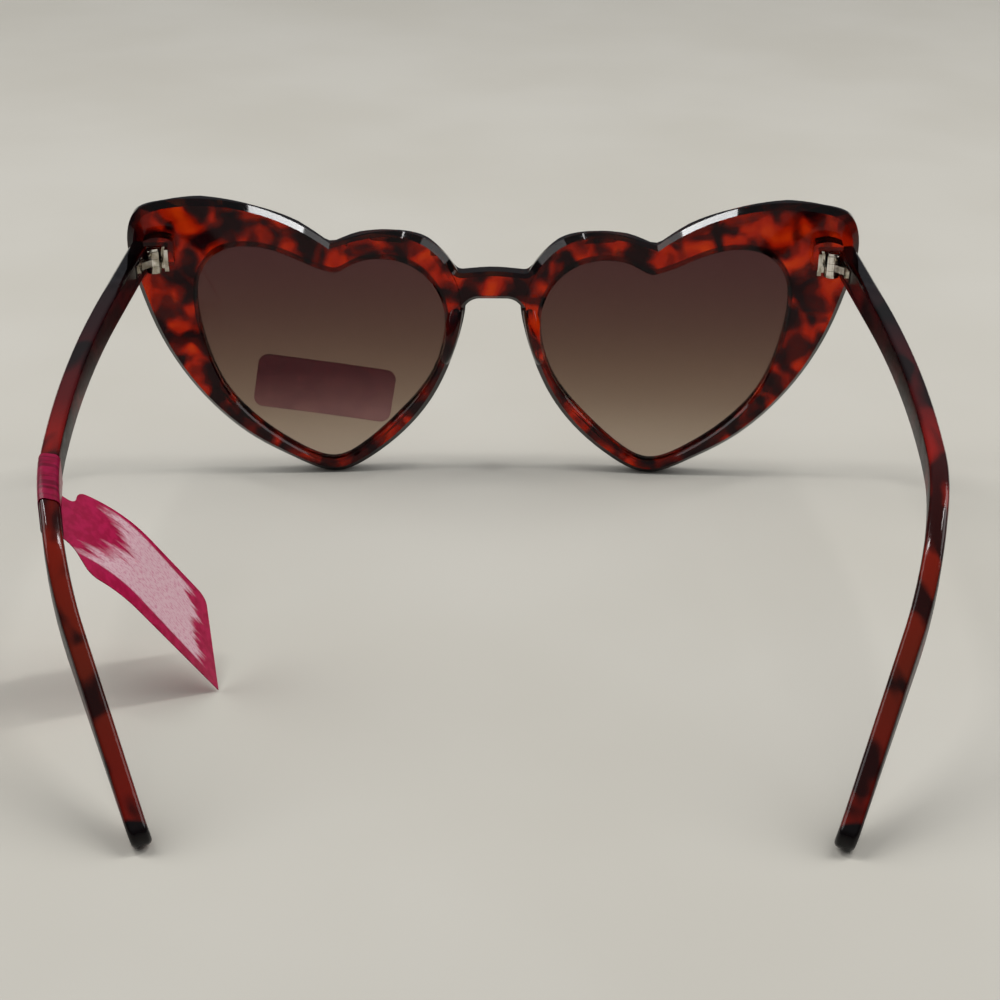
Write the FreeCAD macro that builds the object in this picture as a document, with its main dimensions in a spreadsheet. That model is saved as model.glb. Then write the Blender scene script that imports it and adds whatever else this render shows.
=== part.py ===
import FreeCAD, Part
import math
import os

# Heart-shaped sunglasses with a diamond-cut front, standing on their rims and temple tips.
# The wearer looks along -Y, so +X is the wearer's left and the temples run back along +Y.
# The origin is on the table, below the middle of the overall box.

SIZES = [
    # Lens openings and the rim round them, measured on the flat of one eye
    ("lens_width", 50.5),
    ("lens_height", 47.8),
    ("lens_gap", 19.8),
    ("nose_rim", 4.2),
    ("brow_rim", 9.9),
    ("foot_rim", 2.75),
    ("end_rim", 13.4),
    ("rim_depth", 4.6),
    ("back_bevel", 1.2),
    ("lens_bevel", 0.4),
    ("wrap_angle", 4),
    # Diamond cut of the front: heights above the back face, and the plain lip round the lens
    ("edge_low", 2.1),
    ("edge_high", 3.4),
    ("peak_low", 4.0),
    ("lip_height", 3.8),
    ("lip_width", 1.7),
    ("lip_share", 0.33),
    ("peak_share", 0.6),
    # Domed lenses in a groove
    ("lens_radius", 400),
    ("lens_thickness", 1.5),
    ("lens_apex", 3.5),
    ("groove_depth", 0.8),
    ("lens_clearance", 0.05),
    # Bridge and moulded nose pads
    ("bridge_share", 0.637),
    ("bridge_height", 5.4),
    ("bridge_depth", 3.8),
    ("bridge_bevel", 0.8),
    ("bridge_sink", 0.1),
    ("bridge_crown", 0.6),
    ("crown_radius", 30),
    ("brow_radius", 1.8),
    ("arch_radius", 3.6),
    ("bridge_reach", 8.8),
    ("pad_length", 12.5),
    ("pad_width", 3.2),
    ("pad_rise", 2.3),
    ("pad_inset", 0.5),
    ("pad_share", 0.505),
    ("pad_lean_angle", 14),
    ("pad_sunk_angle", 20),
    # Temples: plan bow, side drop and section
    ("temple_end", 138),
    ("temple_thickness", 3.2),
    ("temple_height", 6.2),
    ("temple_share", 0.809),
    ("temple_edge", 0.9),
    ("splay_angle", 5),
    ("bow_reach", 47),
    ("bow_radius", 320),
    ("bow_angle", 4),
    ("ear_reach", 44),
    ("ear_radius", 75),
    ("ear_angle", 27),
    ("top_slope_angle", 7.4),
    ("under_slope_angle", 7),
    ("top_drop_angle", 39.4),
    ("under_drop_angle", 38.2),
    ("bend_radius", 48),
    ("under_radius", 39.5),
    ("tip_radius", 2.7),
    ("butt_gap", 0.1),
    # Hinges: axis, knuckles, leaves and screw
    ("edge_setback", 0.6),
    ("hinge_inset", 1.8),
    ("hinge_setback", 2.8),
    ("knuckle_radius", 1.5),
    ("knuckle_height", 1.45),
    ("knuckle_gap", 0.06),
    ("leaf_thickness", 0.8),
    ("leaf_gap", 0.6),
    ("plate_length", 5.8),
    ("plate_step", 1),
    ("plate_sink", 0.45),
    ("tang_depth", 1.6),
    ("tang_width", 2),
    ("seat_clearance", 0.04),
    ("pin_radius", 0.65),
    ("pin_clearance", 0.05),
    ("head_radius", 1.3),
    ("head_height", 0.55),
    ("slot_width", 0.4),
    # Moulded housing over each hinge
    ("housing_wall", 1.1),
    ("housing_depth", 3.9),
    ("housing_reach", 5.8),
    ("housing_arch", 1.1),
    ("housing_gap", 0.3),
    # Film tag looped round the left temple, and film sticker on the left lens
    ("film", 0.3),
    ("film_gap", 0.12),
    ("tag_distance", 91.4),
    ("tag_width", 9.8),
    ("flag_width", 13.8),
    ("flag_neck", 8),
    ("flag_drop", 1.8),
    ("flag_radius", 45),
    ("flag_start_angle", 34),
    ("flag_curl_angle", 25),
    ("flag_tilt_angle", 18),
    ("flag_skew", 8),
    ("flag_slant", 3.4),
    ("flag_lean", 4),
    ("flag_corner", 1.6),
    ("sticker_length", 29),
    ("sticker_height", 11.8),
    ("sticker_corner", 2.2),
    ("sticker_film", 0.12),
    ("sticker_gap", 0.02),
    ("sticker_share", 0.304),
    ("sticker_angle", 9.5),
]

doc = FreeCAD.newDocument("heart_sunglasses")
sheet = doc.addObject("Spreadsheet::Sheet", "sizes")
for row, (alias, value) in enumerate(SIZES, start=1):
    sheet.set(f"A{row}", str(value))
    sheet.setAlias(f"A{row}", alias)
doc.recompute()

V = FreeCAD.Vector
UP = V(0, 0, 1)
TOUCH = 1e-4
SHARP = math.cos(math.radians(30))


def size(name):
    return float(sheet.get(name))


def turn(axis, degrees):
    return FreeCAD.Rotation(axis, degrees)


# Helpers for bodies, sketches and booleans


def new_body(name, placement=None):
    body = doc.addObject("PartDesign::Body", name)
    body.Label = name
    if placement:
        body.Placement = placement
    return body


def new_sketch(body, name, role, curves, depth=None):
    """A sketch on one of the body's origin planes, moved out by the formula depth."""
    sketch = body.newObject("Sketcher::SketchObject", name)
    plane = next(f for f in body.Origin.OriginFeatures if f.Role == role)
    sketch.AttachmentSupport = [(plane, "")]
    sketch.MapMode = "FlatFace"
    if depth:
        sketch.setExpression("AttachmentOffset.Base.z", depth)
    sketch.addGeometry(curves, False)
    return sketch


def new_pad(body, sketch, length, kind="Pad", reverse=False, both_ways=False):
    feature = body.newObject(f"PartDesign::{kind}", f"{sketch.Name}_{kind.lower()}")
    feature.Profile = sketch
    feature.setExpression("Length", length)
    feature.Reversed = reverse
    feature.Midplane = both_ways
    return feature


def new_loft(body, kind, sketches):
    loft = body.newObject(f"PartDesign::{kind}", f"{sketches[0].Name}_loft")
    loft.Profile = sketches[0]
    loft.Sections = sketches[1:]
    loft.Ruled = True
    return loft


def new_boolean(kind, name, base, tool):
    result = doc.addObject(f"Part::{kind}", name)
    result.Base = base
    result.Tool = tool
    return result


def new_fuse(name, pieces):
    result = doc.addObject("Part::MultiFuse", name)
    result.Shapes = pieces
    result.Refine = False
    return result


def new_mirror(name, source):
    result = doc.addObject("Part::Mirroring", name)
    result.Source = source
    result.Normal = V(1, 0, 0)
    return result


def new_sphere(name, radius, centre):
    ball = doc.addObject("Part::Sphere", name)
    ball.setExpression("Radius", radius)
    ball.Placement.Base = centre
    return ball


def meet(p, along, q, other):
    """The point where two lines in a plane cross."""
    gap = q - p
    reach = (gap.x * other.y - gap.y * other.x) / (along.x * other.y - along.y * other.x)
    return p + along * reach


def heading(degrees):
    """A unit step along +Y in plan, turned outward by the angle."""
    angle = math.radians(degrees)
    return V(math.sin(angle), math.cos(angle), 0)


def rounded(corners):
    """A closed outline through corners (point, radius), with a tangent arc at each radius."""
    ends = []
    for k, (here, radius) in enumerate(corners):
        before = (corners[k - 1][0] - here).normalize()
        after = (corners[(k + 1) % len(corners)][0] - here).normalize()
        half = before.getAngle(after) / 2
        cut = radius / math.tan(half)
        middle = (before + after).normalize() if radius else V()
        crown = here + middle * (radius / math.sin(half) - radius)
        ends.append((here + before * cut, crown, here + after * cut, radius))
    curves = []
    for k, (start, crown, stop, radius) in enumerate(ends):
        if radius:
            curves.append(Part.Arc(start, crown, stop))
        curves.append(Part.LineSegment(stop, ends[(k + 1) % len(ends)][0]))
    return curves


def box_outline(left, right, low, high, radius=0):
    corners = [V(left, low, 0), V(right, low, 0), V(right, high, 0), V(left, high, 0)]
    return rounded([(corner, radius) for corner in corners])


# Reference places shared by the pieces

half_gap = size("lens_gap") / 2
rim_inside = half_gap - size("nose_rim")
rim_outside = half_gap + size("lens_width") + size("end_rim")
rim_top = size("foot_rim") + size("lens_height") + size("brow_rim")
bridge_low = rim_top * size("bridge_share")
pad_level = rim_top * size("pad_share")
temple_level = rim_top * size("temple_share")
sticker_level = rim_top * size("sticker_share")
back_y = (size("rim_depth") - size("temple_end")) / 2
wrap = size("wrap_angle")
eye_place = FreeCAD.Placement(V(0, back_y, 0), turn(UP, wrap))

hinge_u = rim_outside - size("edge_setback") - size("temple_thickness") - size("hinge_inset")
hinge_z = temple_level
hinge_axis = eye_place.multVec(V(hinge_u, size("hinge_setback"), 0))
stack_height = 3 * size("knuckle_height") + 2 * size("knuckle_gap")
stack_base = hinge_z - stack_height / 2

# Heart outlines as shares of their own box: across from the nose, and up from the foot.
# The rim starts in the point of the cleft and runs over the outer lobe, the foot and the nose side.
RIM_HEART = [
    (0.404, 0.838),
    (0.511, 0.917),
    (0.636, 0.974),
    (0.790, 1.000),
    (0.895, 0.992),
    (0.970, 0.958),
    (0.995, 0.895),
    (0.976, 0.714),
    (0.935, 0.565),
    (0.868, 0.408),
    (0.775, 0.263),
    (0.658, 0.140),
    (0.526, 0.050),
    (0.399, 0.000),
    (0.291, 0.053),
    (0.188, 0.149),
    (0.101, 0.273),
    (0.043, 0.412),
    (0.009, 0.539),
    (0.000, 0.661),
    (0.043, 0.770),
    (0.119, 0.850),
    (0.232, 0.879),
    (0.327, 0.864),
]
LENS_HEART = [
    (0.461, 0.879),
    (0.537, 0.908),
    (0.655, 0.967),
    (0.794, 1.000),
    (0.913, 0.971),
    (0.984, 0.875),
    (1.000, 0.747),
    (0.972, 0.553),
    (0.905, 0.361),
    (0.764, 0.179),
    (0.606, 0.055),
    (0.457, 0.000),
    (0.339, 0.062),
    (0.190, 0.208),
    (0.065, 0.373),
    (0.006, 0.544),
    (0.004, 0.699),
    (0.061, 0.831),
    (0.160, 0.912),
    (0.269, 0.935),
    (0.384, 0.908),
]


def in_box(shares, left, right, low, high):
    return [V(left + a * (right - left), low + b * (high - low), 0) for a, b in shares]


def rim_points(inset=0):
    return in_box(RIM_HEART, rim_inside + inset, rim_outside - inset, inset, rim_top - inset)


def rim_outline(inset=0):
    """A smooth curve that starts and ends in a point at the cleft, in two halves that meet at the foot."""
    points = rim_points(inset)
    heart = Part.BSplineCurve()
    heart.interpolate(points + points[:1])
    foot = heart.parameter(min(points, key=lambda point: point.y))
    outer_half = heart.copy()
    outer_half.segment(heart.FirstParameter, foot)
    nose_half = heart.copy()
    nose_half.segment(foot, heart.LastParameter)
    return [outer_half, nose_half]


def nose_side(level):
    """The point on the nose side of the rim at a level."""
    row = Part.makeLine(V(0, level, 0), V(half_gap, level, 0))
    return rim_outline()[1].toShape().section(row).Vertexes[0].Point


def lens_outline(grow=0):
    left = half_gap - grow
    right = half_gap + size("lens_width") + grow
    low = size("foot_rim") - grow
    high = size("foot_rim") + size("lens_height") + grow
    heart = Part.BSplineCurve()
    heart.interpolate(in_box(LENS_HEART, left, right, low, high), PeriodicFlag=True)
    return [heart]


# Front frame: the left eye is a flat heart rim with a bevelled back, turned by the wrap angle.
# A swollen nose pad stands on its nose side and a C-shaped housing on its end.

rim = new_body("rim", eye_place)
new_loft(rim, "AdditiveLoft", [
    new_sketch(rim, "rim_back", "XZ_Plane", rim_outline(size("back_bevel"))),
    new_sketch(rim, "rim_edge", "XZ_Plane", rim_outline(), "sizes.back_bevel"),
    new_sketch(rim, "rim_front", "XZ_Plane", rim_outline(), "sizes.rim_depth + sizes.back_bevel"),
])

# The pad is a round bar bowed out of the back, so both its ends run into the rim.
pad_radius = size("pad_width") / 2
pad_rise = size("pad_rise")
pad_bow = ((size("pad_length") / 2) ** 2 + pad_rise ** 2) / (2 * pad_rise)
pad_across = nose_side(pad_level).x + pad_radius + size("pad_inset")
pad_section = [Part.Circle(V(0, pad_bow - pad_radius, 0), UP, pad_radius)]
pad_profile = new_sketch(rim, "pad_profile", "XY_Plane", pad_section)
pad_profile.AttachmentOffset = FreeCAD.Placement(
    V(pad_across, pad_rise - pad_bow, pad_level),
    turn(V(0, 1, 0), -size("pad_lean_angle")),
)
nose_pad = rim.newObject("PartDesign::Revolution", "nose_pad")
nose_pad.Profile = pad_profile
nose_pad.ReferenceAxis = (pad_profile, ["H_Axis"])
nose_pad.Angle = 2 * math.degrees(math.asin(size("pad_length") / 2 / pad_bow)) + size("pad_sunk_angle")
nose_pad.Midplane = True

# The housing is a rib bent over the hinge: an inner wall and an arched roof.
roof_under = temple_level + size("temple_height") / 2 + size("housing_gap")
roof_top = roof_under + size("housing_wall")
wall_in = hinge_u - size("knuckle_radius") - size("leaf_thickness") - size("leaf_gap")
wall_out = wall_in - size("housing_wall")
roof_end = wall_out + size("housing_reach")
housing_corners = [
    (V(wall_out, hinge_z - size("knuckle_height") / 2, 0), 0),
    (V(wall_in, hinge_z - size("knuckle_height") / 2, 0), 0),
    (V(wall_in, roof_under, 0), size("housing_wall") / 2),
    (V(roof_end, roof_under, 0), 0),
    (V(roof_end, roof_top, 0), 0),
    (V((roof_end + wall_out) / 2, roof_top + size("housing_arch"), 0), size("housing_reach")),
    (V(wall_out, roof_top, 0), size("housing_wall")),
]
housing = new_sketch(rim, "housing", "XZ_Plane", rounded(housing_corners))
new_pad(rim, housing, "sizes.housing_depth", reverse=True)

opening = new_sketch(rim, "opening", "XZ_Plane", lens_outline())
new_pad(rim, opening, "4 * sizes.rim_depth", "Pocket", both_ways=True)
new_loft(rim, "SubtractiveLoft", [
    new_sketch(rim, "bevel_back", "XZ_Plane", lens_outline(size("lens_bevel"))),
    new_sketch(rim, "bevel_inside", "XZ_Plane", lens_outline(), "sizes.lens_bevel"),
])
doc.recompute()

# Diamond cut: rings of flat triangles between the edge, a zigzag of peaks and the lens lip.


def diamond_cutter():
    """Everything in front of the cut face of the left eye, as a solid of flat faces."""
    heart = lens_outline()[0].toShape()
    corners = rim_points()
    count = len(corners)
    spill = size("back_bevel")
    ceiling = size("rim_depth") + 2 * size("back_bevel")

    def lens_side(point):
        return heart.distToShape(Part.Vertex(point))[1][0][0]

    def lifted(point, height):
        return V(point.x, -height, point.y)

    edge = []
    roof = []
    lip = []
    peak = []
    for k, corner in enumerate(corners):
        beside = lens_side(corner)
        width = (corner - beside).Length
        outward = (corner - beside).normalize()
        slope_limit = size("rim_depth") - width / 2
        lip_limit = width * size("lip_share")
        height = max(size("edge_high" if k % 2 else "edge_low"), slope_limit)
        edge.append(lifted(corner + outward * spill, height - spill / 2))
        roof.append(lifted(corner + outward * spill, ceiling))
        lip.append(lifted(beside + outward * min(size("lip_width"), lip_limit), size("lip_height")))
        between = (corner + corners[(k + 1) % count]) / 2
        beside = lens_side(between)
        crest = size("peak_low" if k % 2 else "rim_depth")
        peak.append(lifted(beside + (between - beside) * size("peak_share"), crest))

    faces = []

    def facet(*points):
        faces.append(Part.Face(Part.makePolygon(list(points) + [points[0]])))

    for k in range(count):
        after = (k + 1) % count
        facet(edge[k], edge[after], peak[k])
        facet(peak[k - 1], edge[k], peak[k])
        facet(peak[k - 1], peak[k], lip[k])
        facet(lip[k], peak[k], lip[after])
        facet(edge[k], roof[k], roof[after], edge[after])
    facet(*lip)
    facet(*roof)
    solid = Part.Solid(Part.Shell(faces))
    if solid.Volume < 0:
        solid.reverse()
    return solid


cutter = doc.addObject("Part::Feature", "diamond_cutter")
cutter.Shape = diamond_cutter()
cutter.Placement = eye_place

# Lenses: a heart cut out of a domed shell. The groove in the rim is the same shell, a little larger.

lens_middle = eye_place.multVec(V(
    half_gap + size("lens_width") / 2,
    size("lens_radius") - size("lens_apex"),
    size("foot_rim") + size("lens_height") / 2,
))


def domed(name, outline, front, back):
    """An outline of the left eye cut out of the shell between two spheres round one centre."""
    blank = new_body(f"{name}_blank", eye_place)
    profile = new_sketch(blank, f"{name}_outline", "XZ_Plane", outline, "-sizes.back_bevel")
    new_pad(blank, profile, "sizes.rim_depth + 2 * sizes.back_bevel")
    ball = new_sphere(f"{name}_front", front, lens_middle)
    capped = new_boolean("Common", f"{name}_capped", blank, ball)
    hollow = new_sphere(f"{name}_back", back, lens_middle)
    return new_boolean("Cut", name, capped, hollow)


lens_left = domed(
    "lens_left",
    lens_outline(size("groove_depth") - size("lens_clearance")),
    "sizes.lens_radius",
    "sizes.lens_radius - sizes.lens_thickness",
)
lens_seat = domed(
    "lens_seat",
    lens_outline(size("groove_depth")),
    "sizes.lens_radius + sizes.lens_clearance",
    "sizes.lens_radius - sizes.lens_thickness - sizes.lens_clearance",
)
lens_right = new_mirror("lens_right", lens_left)

# Sticker: a bare film with round corners on the front of the left lens

sticker_turn = turn(UP, size("sticker_angle"))
sticker_centre = V(half_gap + size("lens_width") / 2, sticker_level, 0)
sticker_corners = []
for across, up in ((-1, -1), (1, -1), (1, 1), (-1, 1)):
    corner = V(across * size("sticker_length") / 2, up * size("sticker_height") / 2, 0)
    sticker_corners.append((sticker_centre + sticker_turn.multVec(corner), size("sticker_corner")))
lens_sticker = domed(
    "lens_sticker",
    rounded(sticker_corners),
    "sizes.lens_radius + sizes.sticker_gap + sizes.sticker_film",
    "sizes.lens_radius + sizes.sticker_gap",
)

# Bridge: a bent bar whose ends run into both rims, with a round arch over the nose

bridge_high = bridge_low + size("bridge_height")
reach = size("bridge_reach")
arch = size("arch_radius")
under_corner = nose_side(bridge_low)
brow_corner = nose_side(bridge_high)
brow = size("brow_radius")
bridge_half = [
    (V(reach, under_corner.y, 0), 0),
    (under_corner + V(arch / 4, -arch, 0), 0),
    (under_corner, arch),
]
crown = [(V(0, bridge_high + size("bridge_crown"), 0), size("crown_radius"))]
brow_half = [
    (brow_corner, brow),
    (brow_corner + V(brow, brow, 0), 0),
    (V(reach, brow_corner.y, 0), 0),
]


def flipped(corners):
    return [(V(-corner.x, corner.y, 0), radius) for corner, radius in reversed(corners)]


bridge_front = new_body("bridge_front", FreeCAD.Placement(V(0, back_y, 0), turn(UP, 0)))
bridge_corners = bridge_half + flipped(bridge_half) + flipped(brow_half) + crown + brow_half
profile = new_sketch(bridge_front, "bridge_outline", "XZ_Plane", rounded(bridge_corners))
new_pad(bridge_front, profile, "4 * sizes.rim_depth", both_ways=True)

bend = reach / math.tan(math.radians(wrap))
bend_centre = V(0, back_y + reach / math.sin(math.radians(wrap)) - size("bridge_sink"), 0)
bars = []
for name, radius in (("bridge_outer_bend", bend + size("bridge_depth")), ("bridge_inner_bend", bend)):
    drum = doc.addObject("Part::Cylinder", name)
    drum.Radius = radius
    drum.setExpression("Height", "4 * sizes.lens_height")
    drum.Placement = FreeCAD.Placement(bend_centre, turn(UP, 90))
    bars.append(drum)
bridge_bent = new_boolean("Common", "bridge_bent", bridge_front, bars[0])
bridge_bar = new_boolean("Cut", "bridge_bar", bridge_bent, bars[1])
doc.recompute()

# Its back edges, above and below, carry a bevel like the rims.
bridge = doc.addObject("Part::Chamfer", "bridge")
bridge.Base = bridge_bar
back_edges = []
for number, side in enumerate(bridge_bar.Shape.Edges, start=1):
    middle = side.valueAt((side.FirstParameter + side.LastParameter) / 2)
    on_back = abs((middle - bend_centre - UP * middle.z).Length - bend) < TOUCH
    if on_back and abs(middle.x) < rim_inside:
        back_edges.append((number, size("bridge_bevel"), size("bridge_bevel")))
bridge.Edges = back_edges

# Temple: the side view and the plan view of the left temple, each as a thick slab, share one solid

butt_side = turn(UP, wrap).multVec(V(1, 0, 0))
butt_point = eye_place.multVec(V(hinge_u, size("butt_gap"), 0))
start_way = heading(size("splay_angle"))
middle_way = heading(-size("bow_angle"))
ear_way = heading(-size("ear_angle"))
tip_y = back_y + size("temple_end")


def square_out(way):
    """The sideways step, outward, square to a heading in plan."""
    return V(way.y, -way.x, 0)


def plan_corners(offset, radius_change):
    """The corners of a line that follows the temple at an offset outward from the hinge axis."""
    line = hinge_axis + square_out(start_way) * offset
    front = meet(line, start_way, butt_point, butt_side)
    bow = meet(line, start_way, bow_centre + square_out(middle_way) * offset, middle_way)
    ear = meet(bow, middle_way, ear_centre + square_out(ear_way) * offset, ear_way)
    end = ear + ear_way * (tip_y - ear.y + size("ear_radius"))
    return [
        (front, 0),
        (bow, size("bow_radius") + radius_change),
        (ear, size("ear_radius") + radius_change),
        (end, 0),
    ]


bow_centre = hinge_axis + start_way * size("bow_reach")
ear_centre = bow_centre + middle_way * size("ear_reach")
half_thick = size("temple_thickness") / 2
ear_middle = ear_centre + square_out(ear_way) * (size("hinge_inset") + half_thick)
tip_back = V(0, tip_y, 0) - V(0, size("tip_radius") * ear_way.y - half_thick * ear_way.x, 0)
tip_middle = meet(ear_middle, ear_way, tip_back, V(1, 0, 0))


def plan_outline(grow):
    outer = plan_corners(size("hinge_inset") + size("temple_thickness") + grow, grow)
    inner = plan_corners(size("hinge_inset") - grow, -size("temple_thickness") - grow)
    return rounded(outer + inner[::-1])


def side_outline(grow):
    """The view square to the drop end: sloping front stretch, bend over the ear and a round tip."""
    half = size("temple_height") / 2
    front = butt_point.dot(ear_way)
    lead = V(front - 2 * size("temple_height"), 0, 0)
    tip = V(tip_middle.dot(ear_way), size("tip_radius"), 0)
    tip_round = size("tip_radius") + grow
    edges = []
    for side, slope, drop, radius in (
        (1, size("top_slope_angle"), size("top_drop_angle"), size("bend_radius") + grow),
        (-1, size("under_slope_angle"), size("under_drop_angle"), size("under_radius") - grow),
    ):
        run = V(math.cos(math.radians(slope)), -math.sin(math.radians(slope)), 0)
        fall = V(math.cos(math.radians(drop)), -math.sin(math.radians(drop)), 0)
        start = V(front, temple_level + side * half, 0) + V(-run.y, run.x, 0) * (side * grow)
        touch = tip + V(-fall.y, fall.x, 0) * (side * tip_round)
        knee = meet(start, run, touch, fall)
        begin = meet(start, run, lead, V(0, 1, 0))
        cut = radius * math.tan(math.radians(drop - slope) / 2)
        swing = (fall - run).normalize()
        crown = knee + swing * (radius / math.cos(math.radians(drop - slope) / 2) - radius)
        edges.append((begin, knee - run * cut, crown, knee + fall * cut, touch))
    top, under = edges
    return [
        Part.LineSegment(top[0], top[1]),
        Part.Arc(top[1], top[2], top[3]),
        Part.LineSegment(top[3], top[4]),
        Part.Arc(top[4], tip + V(tip_round, 0, 0), under[4]),
        Part.LineSegment(under[4], under[3]),
        Part.Arc(under[3], under[2], under[1]),
        Part.LineSegment(under[1], under[0]),
        Part.LineSegment(under[0], top[0]),
    ]


def temple_blank(name, grow=0):
    side = new_body(f"{name}_side", FreeCAD.Placement(V(), turn(UP, size("ear_angle"))))
    profile = new_sketch(side, f"{name}_side_view", "YZ_Plane", side_outline(grow))
    new_pad(side, profile, "4 * sizes.temple_end", both_ways=True)
    plan = new_body(f"{name}_plan")
    profile = new_sketch(plan, f"{name}_plan_view", "XY_Plane", plan_outline(grow))
    new_pad(plan, profile, "4 * sizes.lens_height", both_ways=True)
    return new_boolean("Common", f"{name}_blank", side, plan)


blank = temple_blank("temple")
doc.recompute()
rounded_temple = doc.addObject("Part::Fillet", "rounded_temple")
rounded_temple.Base = blank
sharp_edges = []
for number, side in enumerate(blank.Shape.Edges, start=1):
    middle = side.valueAt((side.FirstParameter + side.LastParameter) / 2)
    sides = blank.Shape.ancestorsOfType(side, Part.Face)
    normals = [face.normalAt(*face.Surface.parameter(middle)) for face in sides]
    at_butt = abs(middle.distanceToPlane(butt_point, eye_place.Rotation.multVec(V(0, 1, 0)))) < TOUCH
    if abs(normals[0].dot(normals[-1])) < SHARP and not at_butt:
        sharp_edges.append((number, size("temple_edge"), size("temple_edge")))
rounded_temple.Edges = sharp_edges

# Hinge: each leaf is a plan profile padded up. The front leaf has two knuckles, the temple leaf one

hinge_place = FreeCAD.Placement(hinge_axis, turn(UP, wrap))
leaf_place = FreeCAD.Placement(hinge_axis, turn(UP, -size("splay_angle")))
bore = size("pin_radius") + size("pin_clearance")
knuckle = size("knuckle_radius")
thick = size("leaf_thickness")
set_back = size("hinge_setback")
layer = size("knuckle_height") + size("knuckle_gap")


def at_height(placement, height):
    return FreeCAD.Placement(placement.Base + UP * height, placement.Rotation)


def pin_hole(body, name, length):
    hole = Part.Circle(V(0, 0, 0), UP, bore)
    profile = new_sketch(body, name, "XY_Plane", [hole], "-sizes.knuckle_gap")
    new_pad(body, profile, length, "Pocket", reverse=True)


def slab(name, placement, low, high):
    """A box between two corners, in the frame of the placement."""
    block = doc.addObject("Part::Box", name)
    block.Length = high.x - low.x
    block.Width = high.y - low.y
    block.Height = high.z - low.z
    block.Placement = FreeCAD.Placement(placement.multVec(low), placement.Rotation)
    return block


leaf_left = wall_in - hinge_u + size("seat_clearance")
front_leaf = new_body("front_leaf_profile", at_height(hinge_place, stack_base))
leaf_profile = [
    Part.LineSegment(V(leaf_left, -set_back, 0), V(knuckle / 2, -set_back, 0)),
    Part.LineSegment(V(knuckle / 2, -set_back, 0), V(knuckle, 0, 0)),
    Part.Arc(V(knuckle, 0, 0), V(0, knuckle, 0), V(-knuckle, 0, 0)),
    Part.LineSegment(V(-knuckle, 0, 0), V(-knuckle, thick - set_back, 0)),
    Part.LineSegment(V(-knuckle, thick - set_back, 0), V(leaf_left + thick, thick - set_back, 0)),
    Part.LineSegment(V(leaf_left + thick, thick - set_back, 0), V(leaf_left + thick, 0, 0)),
    Part.LineSegment(V(leaf_left + thick, 0, 0), V(leaf_left, 0, 0)),
    Part.LineSegment(V(leaf_left, 0, 0), V(leaf_left, -set_back, 0)),
]
profile = new_sketch(front_leaf, "front_leaf_plan", "XY_Plane", leaf_profile)
new_pad(front_leaf, profile, "3 * sizes.knuckle_height + 2 * sizes.knuckle_gap")
gap_left = -knuckle - size("knuckle_gap")
gap_outline = box_outline(gap_left, 2 * knuckle, thick - set_back, 2 * knuckle)
profile = new_sketch(front_leaf, "knuckle_slot", "XY_Plane", gap_outline, "sizes.knuckle_height")
new_pad(front_leaf, profile, "sizes.knuckle_height + 2 * sizes.knuckle_gap", "Pocket", reverse=True)
pin_hole(front_leaf, "front_leaf_bore", "4 * sizes.knuckle_height")


def front_tang(name, clearance):
    """The tongue of the front leaf, sunk in the frame."""
    right = knuckle / 2 - thick / 4
    left = right - size("tang_width")
    low = V(left - clearance, -set_back - size("tang_depth") - clearance, stack_base + thick - clearance)
    high = V(right + clearance, -set_back + thick / 2, stack_base + stack_height - thick + clearance)
    return slab(name, hinge_place, low, high)


front_leaf_left = new_fuse("front_leaf_left", [front_leaf, front_tang("front_tang", 0)])
front_leaf_right = new_mirror("front_leaf_right", front_leaf_left)

plate_in = size("hinge_inset") + size("plate_sink") - thick
plate_out = plate_in + thick
plate_start = knuckle + thick / 4
plate_end = plate_start + size("plate_length")
temple_leaf = new_body("temple_leaf_profile", at_height(leaf_place, stack_base + layer))
arm = [
    Part.Arc(V(knuckle, 0, 0), V(0, -knuckle, 0), V(-knuckle, 0, 0)),
    Part.Arc(V(-knuckle, 0, 0), V(-knuckle, knuckle, 0) * math.sqrt(0.5), V(0, knuckle, 0)),
    Part.LineSegment(V(0, knuckle, 0), V(plate_in, plate_end / 2, 0)),
    Part.LineSegment(V(plate_in, plate_end / 2, 0), V(plate_out, plate_end / 2, 0)),
    Part.LineSegment(V(plate_out, plate_end / 2, 0), V(plate_out, plate_start, 0)),
    Part.LineSegment(V(plate_out, plate_start, 0), V(knuckle, 0, 0)),
]
profile = new_sketch(temple_leaf, "temple_leaf_arm", "XY_Plane", arm)
new_pad(temple_leaf, profile, "sizes.knuckle_height")
pin_hole(temple_leaf, "temple_leaf_bore", "2 * sizes.knuckle_height")


def leaf_plate(name, clearance):
    """The plate of the temple leaf, let into the temple."""
    step = size("plate_step") - clearance
    low = V(plate_in, plate_start - clearance, stack_base + step)
    high = V(plate_out + clearance, plate_end + clearance, stack_base + stack_height - step)
    return slab(name, leaf_place, low, high)


def temple_tang(name, clearance):
    """The tongue of the temple leaf, sunk in the temple."""
    middle = (plate_start + plate_end) / 2
    half = size("tang_width") / 2 + clearance
    step = size("plate_step") + thick / 4 - clearance
    low = V(plate_in, middle - half, stack_base + step)
    high = V(plate_out + size("tang_depth") + clearance, middle + half, stack_base + stack_height - step)
    return slab(name, leaf_place, low, high)


temple_leaf_pieces = [temple_leaf, leaf_plate("leaf_plate", 0), temple_tang("temple_tang", 0)]
temple_leaf_left = new_fuse("temple_leaf_left", temple_leaf_pieces)
temple_leaf_right = new_mirror("temple_leaf_right", temple_leaf_left)

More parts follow.
